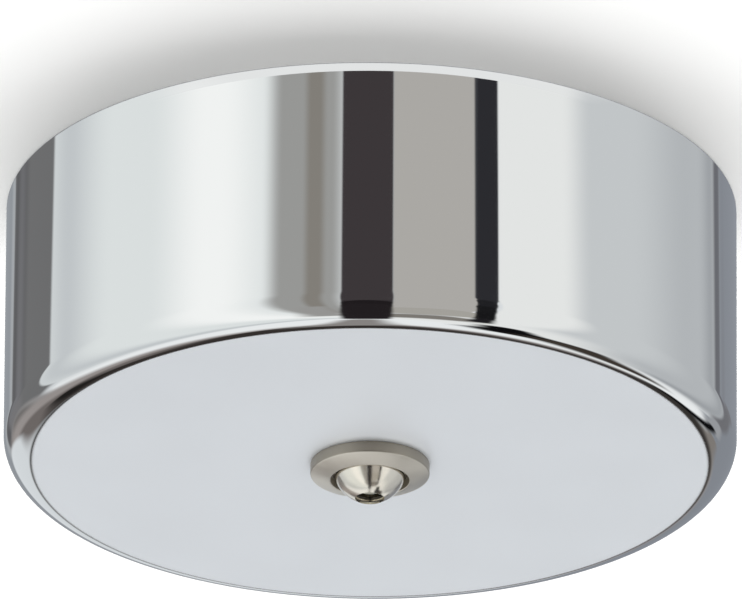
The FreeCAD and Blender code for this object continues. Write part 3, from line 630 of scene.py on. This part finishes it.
# %% [markdown]
# Inside the rose nothing is polished. The bracket, the yoke and the fasteners are
# zinc-plated steel with a clear bluish passivation that yellows in places. Two slow
# noises mix the blue and the yellow, and a third, drawn out along the rolling direction
# of the sheet, gives the lines that the mill leaves.

# %% Zinc-plated steel
def zinc_plated(name, roll_axis, roll_size, shine):
    """Zinc plate with a thin, slightly iridescent passivation over rolled or turned steel.

    roll_axis scales the noise of the rolling lines, small along the lines."""
    material, tree = new_material(name)
    place = object_place(tree)
    lines = noise(tree, stretched(tree, place, roll_axis), roll_size)
    cloud = noise(tree, place, 9 * MM, 3.0)
    film = noise(tree, place, 17 * MM, 1.0)
    bluish = blend(tree, spread(tree, cloud, 0.0, 1.0), "b4b9c0", "c3c5c6")
    colour = mix_colours(tree, spread(tree, film, 0.0, 0.45), bluish, linear("c6bfae"))
    return surface_of(material, tree, Base_Color=colour, Metallic=1.0,
                      Roughness=spread(tree, lines, shine - 0.06, shine + 0.08),
                      Normal=bumped(tree, lines, 0.012 * MM, 0.6, 0.2 * MM))


finishes = {
    "zinc_sheet": zinc_plated("zinc_plated_sheet", (0.05, 1, 1), 0.5 * MM, 0.36),
    "zinc_fastener": zinc_plated("zinc_plated_fasteners", (1, 1, 1), 0.25 * MM, 0.3),
}


# %% [markdown]
# The sleeve is cut from bare hexagonal brass bar, drawn along its length. The terminals
# are brass tube, drawn along their own length, and the earth screw is turned brass. They
# differ only in the direction of the marks and in how far they have tarnished, so one
# function serves all three.

# %% Brass, bare and turned
def bare_brass(name, draw_axis, draw_size, light, dark, shine):
    """Uncoated brass: drawing or turning marks, and a tarnish that dulls it in patches."""
    material, tree = new_material(name)
    place = object_place(tree)
    marks = noise(tree, stretched(tree, place, draw_axis), draw_size)
    tarnish = spread(tree, noise(tree, place, 5 * MM, 4.0), 0.0, 1.0)
    return surface_of(material, tree, Base_Color=blend(tree, tarnish, light, dark), Metallic=1.0,
                      Roughness=spread(tree, marks, shine - 0.05, shine + 0.1),
                      Normal=bumped(tree, marks, 0.01 * MM, 0.6, 0.1 * MM))


finishes["brass_sleeve"] = bare_brass(
    "drawn_hexagon_brass", (1, 1, 0.05), 0.3 * MM, "cbab62", "b18d47", 0.28)
finishes["brass_terminal"] = bare_brass(
    "brass_tube", (1, 0.06, 0.06), 0.2 * MM, "d3b56c", "bd9a54", 0.24)
finishes["brass_screw"] = bare_brass(
    "turned_brass", (1, 1, 1), 0.2 * MM, "cfae62", "ba954a", 0.26)


# %% [markdown]
# The insulating parts are plain plastics. Rubber is nearly black and matt, with a grey
# bloom. Nylon is milky and lets a little light in, which a weak subsurface share gives.
# The block is off-white polyamide with the fine grain of its spark-eroded mould.

# %% Rubber, nylon and polyamide
def black_rubber():
    """Moulded rubber: near black, matt, with a fine grain and a little grey bloom."""
    material, tree = new_material("moulded_black_rubber")
    place = object_place(tree)
    bloom = spread(tree, noise(tree, place, 2.5 * MM, 4.0), 0.0, 1.0)
    return surface_of(material, tree, Base_Color=blend(tree, bloom, "1c1c1d", "2b2a2a"),
                      Roughness=spread(tree, bloom, 0.5, 0.7),
                      Normal=bumped(tree, noise(tree, place, 0.12 * MM), 0.02 * MM, 0.7))


def natural_nylon():
    """Unpigmented nylon: milky, slightly yellow, letting a little light through."""
    material, tree = new_material("natural_nylon")
    place = object_place(tree)
    cloud = spread(tree, noise(tree, place, 3 * MM), 0.0, 1.0)
    return surface_of(material, tree, Base_Color=blend(tree, cloud, "e6e4d9", "efeee6"),
                      Roughness=0.38, Subsurface_Weight=0.2,
                      Subsurface_Radius=(1.0 * MM, 0.9 * MM, 0.7 * MM), Subsurface_Scale=1.0,
                      Normal=bumped(tree, noise(tree, place, 0.3 * MM), 0.01 * MM, 0.5))


def moulded_polyamide():
    """Off-white moulded plastic: fine spark-eroded grain and soft flow marks."""
    material, tree = new_material("moulded_polyamide")
    place = object_place(tree)
    flow = spread(tree, noise(tree, stretched(tree, place, (1, 0.35, 1)), 4 * MM, 3.0), 0.0, 1.0)
    grain = noise(tree, place, 0.16 * MM)
    return surface_of(material, tree, Base_Color=blend(tree, flow, "dedacb", "e8e5d9"),
                      Roughness=spread(tree, grain, 0.4, 0.55),
                      Normal=bumped(tree, grain, 0.02 * MM, 0.6, 0.25 * MM))


finishes["grommet_rubber"] = black_rubber()
finishes["liner_plastic"] = natural_nylon()
finishes["block_plastic"] = moulded_polyamide()


# %% [markdown]
# A turned or drawn part is a profile spun round the axis. The profile is a list of
# corners, each with its own fillet, and the spin is one outer product, so that every
# reflection runs over an exact curve and not over flat facets. Each finished piece then
# takes the place of its solid, rides on the same body and wears the finish that the
# record's material slot names.

# %% Profiles and the lathe
slots = {part["node"]: part["material_slot"] for part in frame["record"]["subparts"]}
SHARP_EDGE = math.radians(35)


def soft_profile(corners, steps=8):
    """A closed outline whose corners (radius, height, fillet) are rounded by arcs.

    A fillet of radius f in a corner of half-angle h touches both sides f / tan(h) away
    from the corner, and its centre lies f / sin(h) away along the bisector."""
    spots = np.array([corner[:2] for corner in corners], float)
    outline = []
    sides = zip(np.roll(spots, 1, 0), spots, np.roll(spots, -1, 0), corners)
    for before, here, after, corner in sides:
        fillet = corner[2]
        to_before = (before - here) / np.linalg.norm(before - here)
        to_after = (after - here) / np.linalg.norm(after - here)
        half = math.acos(np.clip(to_before @ to_after, -1, 1)) / 2
        if fillet == 0 or half > math.pi / 2 - 1e-3:
            outline.append(here[None])
            continue
        bisector = (to_before + to_after) / np.linalg.norm(to_before + to_after)
        centre = here + bisector * fillet / math.sin(half)
        start = here + to_before * fillet / math.tan(half) - centre
        end = here + to_after * fillet / math.tan(half) - centre
        sweep = math.atan2(start[0] * end[1] - start[1] * end[0], start @ end)
        angles = np.linspace(0, sweep, steps + 1)[:, None]
        across = np.array([-start[1], start[0]])
        outline.append(centre + np.cos(angles) * start + np.sin(angles) * across)
    return np.concatenate(outline)


def grids(outline, segments):
    """Grids of radius and height for an outline, and the angles of their columns."""
    turn = np.linspace(0, 2 * np.pi, segments + 1)[:-1]
    radius, height = (np.repeat(outline[:, i:i + 1], segments, 1) for i in (0, 1))
    return radius, height, turn


def spun(name, radius, height, turn):
    """A closed surface x = r sin(t), y = r cos(t), z = h, from grids in mm."""
    grid = np.stack([radius * np.sin(turn), radius * np.cos(turn), height], -1) * MM
    piece = surface(name, grid, closed_u=True, closed_v=True)
    piece.data.shade_smooth()
    piece.data.set_sharp_from_angle(angle=SHARP_EDGE)
    return piece


def lathe(name, profile, segments=256):
    """Spins a closed profile of (radius, height) in mm."""
    return spun(name, *grids(profile, segments))


def dress(piece, node, material):
    """The piece stands for a CAD node: it rides on its body and takes its finish."""
    piece.data.materials.clear()
    piece.data.materials.append(material)
    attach(piece, nodes[node]["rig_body"])
    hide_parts(node)
    low, high = (np.array(corner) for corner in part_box(node))
    points = np.array([v.co for v in piece.data.vertices])
    over = max((low - points.min(0)).max(), (points.max(0) - high).max()) / MM
    print(f"{piece.name}: {len(points)} points, past its CAD box by {over:.3f} mm at most")


print("material slots in the record:", sorted(set(slots.values())))


# %% [markdown]
# The cup is the lathe's simplest case: six corners, the sheet's thickness between its
# outer and inner lines, and the 4.5 mm corner that carries the photograph's dark line.
# The corner has many steps and the spin many columns, since mirror chrome shows every
# facet.

# %% The cup
STEM_HOLE = 5.25
HOLE_ROUND = 0.1
RIM_ROUND = 0.25
cup_outer = CUP_RADIUS / MM
cup_inner = cup_outer - WALL_SHEET
cup_corners = [
    (STEM_HOLE, PLATE, HOLE_ROUND),
    (cup_outer, PLATE, CORNER),
    (cup_outer, 0, RIM_ROUND),
    (cup_inner, 0, RIM_ROUND),
    (cup_inner, PLATE + WALL_SHEET, CORNER - WALL_SHEET),
    (STEM_HOLE, PLATE + WALL_SHEET, HOLE_ROUND),
]
cup = lathe("drawn_cup", soft_profile(cup_corners, 24), 384)
dress(cup, "cup", chrome)

# %% [markdown]
# The disc under the plate is turned: an upright edge, a shallow cone towards the middle
# and a seat sunk into it for the screw's head. Its arrises are only just broken, as a
# lathe leaves them.

# %% The outlet's disc
FLANGE_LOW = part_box("outlet_flange")[0].z / MM
FLANGE_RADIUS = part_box("outlet_flange")[1].x / MM
FLANGE_EDGE = 1.9
SEAT_RADIUS = 6.45
SEAT_DEPTH = 1.6
HEAD_SEAT = FLANGE_LOW + SEAT_DEPTH
flange_corners = [
    (STEM_HOLE, PLATE, HOLE_ROUND),
    (STEM_HOLE, HEAD_SEAT, 0),
    (SEAT_RADIUS, HEAD_SEAT, 0.05),
    (SEAT_RADIUS, FLANGE_LOW, 0.15),
    (FLANGE_RADIUS, PLATE - FLANGE_EDGE, 0.3),
    (FLANGE_RADIUS, PLATE, 0.15),
]
flange = lathe("outlet_disc", soft_profile(flange_corners))
dress(flange, "outlet_flange", nickel)


# %% [markdown]
# The outlet screw and the sleeve above it share one thread, M10 with a pitch of 1 mm.
# A thread is the lathe again, with a radius that depends on the angle as well as on the
# height. Where the phase, height / pitch + angle / turn, is whole, the tooth has its
# root, and halfway between two such places its crest. Both parts read the same phase, so
# the crests of one lie in the grooves of the other, and one turn moves the screw by
# exactly one pitch.

# %% Threads
PITCH = 1.0
TOOTH = 0.5
TOOTH_FLAT = 0.125
THREAD_RUN = 1.5
SAME_RADIUS = 1e-6


def tooth(height, turn):
    """Depth below the crest, 0 to 1: |2 frac(h / pitch + t / 2 pi) - 1|, with a flat top
    and bottom an eighth of the pitch wide."""
    phase = height / PITCH + turn / (2 * np.pi)
    sawtooth = np.abs(2 * (phase - np.floor(phase)) - 1)
    return np.clip((sawtooth - TOOTH_FLAT) / (1 - 2 * TOOTH_FLAT), 0, 1)


def faded(height, start, end):
    """1 between start and end, falling to 0 near each, so a thread runs out softly."""
    return (np.clip((height - start) / THREAD_RUN, 0, 1)
            * np.clip((end - height) / THREAD_RUN, 0, 1))


def with_rows(profile, radii, step=PITCH / 16):
    """The same closed outline with rows a step apart along its uprights at these radii."""
    rows = []
    for here, after in zip(profile, np.roll(profile, -1, 0)):
        along = any(abs(here[0] - r) + abs(after[0] - r) < SAME_RADIUS for r in radii)
        count = max(1, math.ceil(abs(after[1] - here[1]) / step)) if along else 1
        share = np.arange(count)[:, None] / count
        rows.append(here + share * (after - here))
    return np.concatenate(rows)


print("thread: pitch", PITCH, "mm, tooth", TOOTH, "mm deep")

# %% [markdown]
# The screw is one closed outline: up the cord's bore, out over the liner's seat, down
# the threaded stem, round the collar and along the dome. The dome is a true arc between
# the collar's edge and the small flat tip, because its highlight is the brightest thing
# on the fitting and would show any flat.

# %% The outlet screw
HEAD_RADIUS = 5.8
STEM_RADIUS = 5.0
COLLAR = 1.0
DOME_BASE = HEAD_SEAT - COLLAR
DOME_TIP_RADIUS = 2.4
SCREW_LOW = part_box("outlet_screw")[0].z / MM
SCREW_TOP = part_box("outlet_screw")[1].z / MM
CORD_RADIUS = 1.8
LINER_RADIUS = 3.0
LINER_GAP = 0.05
LIP = 1.5
LIP_TOP = SCREW_LOW + LIP
STEM_BEVEL = 0.6
STEM_NECK = 0.5
DOME_STEPS = 32


def dome_profile():
    """The dome: an arc through the edges of the collar and the tip, centred on the axis.
    Equal distance to both gives the centre's height above the collar's edge,
    (R^2 - r^2 - rise^2) / (2 rise)."""
    rise = DOME_BASE - SCREW_LOW
    centre = DOME_BASE + (HEAD_RADIUS ** 2 - DOME_TIP_RADIUS ** 2 - rise ** 2) / (2 * rise)
    radius = math.hypot(HEAD_RADIUS, DOME_BASE - centre)
    start = math.atan2(DOME_BASE - centre, HEAD_RADIUS)
    end = math.atan2(SCREW_LOW - centre, DOME_TIP_RADIUS)
    angles = np.linspace(start, end, DOME_STEPS)
    return np.stack([radius * np.cos(angles), centre + radius * np.sin(angles)], 1)


def threaded_screw():
    """The whole screw; its stem's radius loses TOOTH times the tooth's depth."""
    outline = soft_profile([
        (CORD_RADIUS, SCREW_LOW, 0.4), (CORD_RADIUS, LIP_TOP, 0),
        (LINER_RADIUS + LINER_GAP, LIP_TOP, 0), (LINER_RADIUS + LINER_GAP, SCREW_TOP, 0.1),
        (STEM_RADIUS - STEM_BEVEL, SCREW_TOP, 0), (STEM_RADIUS, SCREW_TOP - STEM_BEVEL, 0),
        (STEM_RADIUS, HEAD_SEAT, 0), (HEAD_RADIUS, HEAD_SEAT, 0.15)])
    outline = with_rows(np.concatenate([outline, dome_profile()]), [STEM_RADIUS])
    radius, height, turn = grids(outline, 192)
    on_stem = np.abs(radius - STEM_RADIUS) < SAME_RADIUS
    threaded = faded(height, HEAD_SEAT + STEM_NECK, SCREW_TOP + THREAD_RUN)
    depth = TOOTH * tooth(height, turn) * threaded
    return spun("threaded_outlet_screw", np.where(on_stem, radius - depth, radius), height, turn)


screw = threaded_screw()
dress(screw, "outlet_screw", nickel)

# %% [markdown]
# A nylon liner keeps the cord off the metal. It stands on the lip in the screw's bore
# and ends in a small flange on top of the stem: a stepped tube, so six corners are
# enough.

# %% The liner
LINER_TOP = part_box("screw_liner")[1].z / MM
LINER_FLANGE = 0.8
LINER_FLANGE_RADIUS = 4.3
liner = lathe("nylon_liner", soft_profile([
    (CORD_RADIUS, LIP_TOP, 0.05), (LINER_RADIUS, LIP_TOP, 0.1),
    (LINER_RADIUS, LINER_TOP - LINER_FLANGE, 0),
    (LINER_FLANGE_RADIUS, LINER_TOP - LINER_FLANGE, 0.1),
    (LINER_FLANGE_RADIUS, LINER_TOP, 0.15), (CORD_RADIUS, LINER_TOP, 0.3)]), 128)
dress(liner, "screw_liner", finishes["liner_plastic"])

# %% [markdown]
# The grommet guards the supply cable where it passes the bracket. It is a rubber ring
# with a groove that holds the sheet's edge, and thick rounded lips on both sides.

# %% The grommet
GROMMET_LOW, GROMMET_TOP = (corner.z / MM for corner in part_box("cable_grommet"))
GROMMET_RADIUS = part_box("cable_grommet")[1].x / MM
GROMMET_BORE = 4.5
GROMMET_GROOVE = 6.95
GROMMET_LIP = 1.6
LIP_ROUND = 0.5
grommet = lathe("rubber_grommet", soft_profile([
    (GROMMET_BORE, GROMMET_LOW, LIP_ROUND), (GROMMET_RADIUS, GROMMET_LOW, LIP_ROUND),
    (GROMMET_RADIUS, GROMMET_LOW + GROMMET_LIP, 0.15),
    (GROMMET_GROOVE, GROMMET_LOW + GROMMET_LIP, 0),
    (GROMMET_GROOVE, GROMMET_TOP - GROMMET_LIP, 0),
    (GROMMET_RADIUS, GROMMET_TOP - GROMMET_LIP, 0.15),
    (GROMMET_RADIUS, GROMMET_TOP, LIP_ROUND), (GROMMET_BORE, GROMMET_TOP, LIP_ROUND)]), 160)
dress(grommet, "cable_grommet", finishes["grommet_rubber"])

# %% [markdown]
# The sleeve is a hexagonal nut drawn long, with a threaded spigot that a locknut holds
# in the yoke. Both are spun like the rest: a hexagon is a radius that grows towards its
# corners as 1 / cos, and a cone cuts the corners off at both ends, as on a real nut.

# %% The sleeve and its locknut
FLATS = 14.0
FLAT_END = FLATS / 2 - 0.01
END_BEVEL = math.radians(30)
FIT = 0.05
MOUTH = 0.5
NUT_MOUTH = 0.4
SPIGOT_BORE = 3.5
SLEEVE_BODY = 16
UNTHREADED_END = 2
SLEEVE_LOW, SLEEVE_TOP = (corner.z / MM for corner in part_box("outlet_sleeve"))
SLEEVE_SHOULDER = SLEEVE_LOW + SLEEVE_BODY
THREAD_END = SLEEVE_SHOULDER - UNTHREADED_END
NUT_LOW, NUT_TOP = (corner.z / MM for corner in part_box("sleeve_locknut"))
SLEEVE_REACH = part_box("outlet_sleeve")[1]
HEXAGON_TURN = 0 if SLEEVE_REACH.x > SLEEVE_REACH.y else np.pi / 6


def threaded_hexagon(name, outline, low, high):
    """Spins an outline in which three radii are signs for more than a plain turning.

    A radius of FLATS is a hexagon, FLATS / 2 / cos(angle from the middle of a side), kept
    within a cone that bevels its ends by 30 degrees. STEM_RADIUS is a male thread and
    STEM_RADIUS + FIT a female one, both in the outlet screw's phase."""
    outline = with_rows(np.array(outline, float), [STEM_RADIUS, STEM_RADIUS + FIT, FLATS])
    radius, height, turn = grids(outline, 144)
    from_side = (turn + HEXAGON_TURN + np.pi / 6) % (np.pi / 3) - np.pi / 6
    cone = FLATS / 2 + np.minimum(height - low, high - height) / math.tan(END_BEVEL)
    hexagon = np.minimum(FLATS / 2 / np.cos(from_side), cone)
    depth = TOOTH * tooth(height, turn)
    shape = np.where(np.abs(radius - FLATS) < SAME_RADIUS, hexagon, radius)
    male = np.abs(radius - STEM_RADIUS) < SAME_RADIUS
    shape = np.where(male, radius - depth * faded(height, SLEEVE_SHOULDER, SLEEVE_TOP + 1), shape)
    female = np.abs(radius - STEM_RADIUS - FIT) < SAME_RADIUS
    return spun(name, np.where(female, radius - depth, shape), height, turn)


sleeve = threaded_hexagon("hexagonal_brass_sleeve", [
    (STEM_RADIUS + MOUTH, SLEEVE_LOW), (FLAT_END, SLEEVE_LOW),
    (FLATS, SLEEVE_LOW), (FLATS, SLEEVE_SHOULDER), (FLAT_END, SLEEVE_SHOULDER),
    (STEM_RADIUS, SLEEVE_SHOULDER), (STEM_RADIUS, SLEEVE_TOP - MOUTH),
    (STEM_RADIUS - MOUTH, SLEEVE_TOP), (SPIGOT_BORE, SLEEVE_TOP), (SPIGOT_BORE, THREAD_END),
    (STEM_RADIUS + FIT, THREAD_END), (STEM_RADIUS + FIT, SLEEVE_LOW + MOUTH)],
    SLEEVE_LOW, SLEEVE_SHOULDER)
dress(sleeve, "outlet_sleeve", finishes["brass_sleeve"])
locknut = threaded_hexagon("sleeve_locknut_threaded", [
    (STEM_RADIUS + MOUTH, NUT_LOW), (FLAT_END, NUT_LOW), (FLATS, NUT_LOW), (FLATS, NUT_TOP),
    (FLAT_END, NUT_TOP), (STEM_RADIUS + MOUTH, NUT_TOP),
    (STEM_RADIUS + FIT, NUT_TOP - NUT_MOUTH), (STEM_RADIUS + FIT, NUT_LOW + NUT_MOUTH)],
    NUT_LOW, NUT_TOP)
dress(locknut, "sleeve_locknut", finishes["zinc_fastener"])

# %% [markdown]
# Everything else keeps its solid from the frame and takes the finish that its material
# slot names. The loop below is the whole dressing.

# %% The carried-over solids
replaced = {"cup", "outlet_flange", "outlet_screw", "screw_liner", "cable_grommet",
            "outlet_sleeve", "sleeve_locknut"}
for name, node in nodes.items():
    if name in replaced:
        continue
    node.data.materials.clear()
    node.data.materials.append(finishes[slots[name]])
    print("dressed", name, "in", finishes[slots[name]].name)
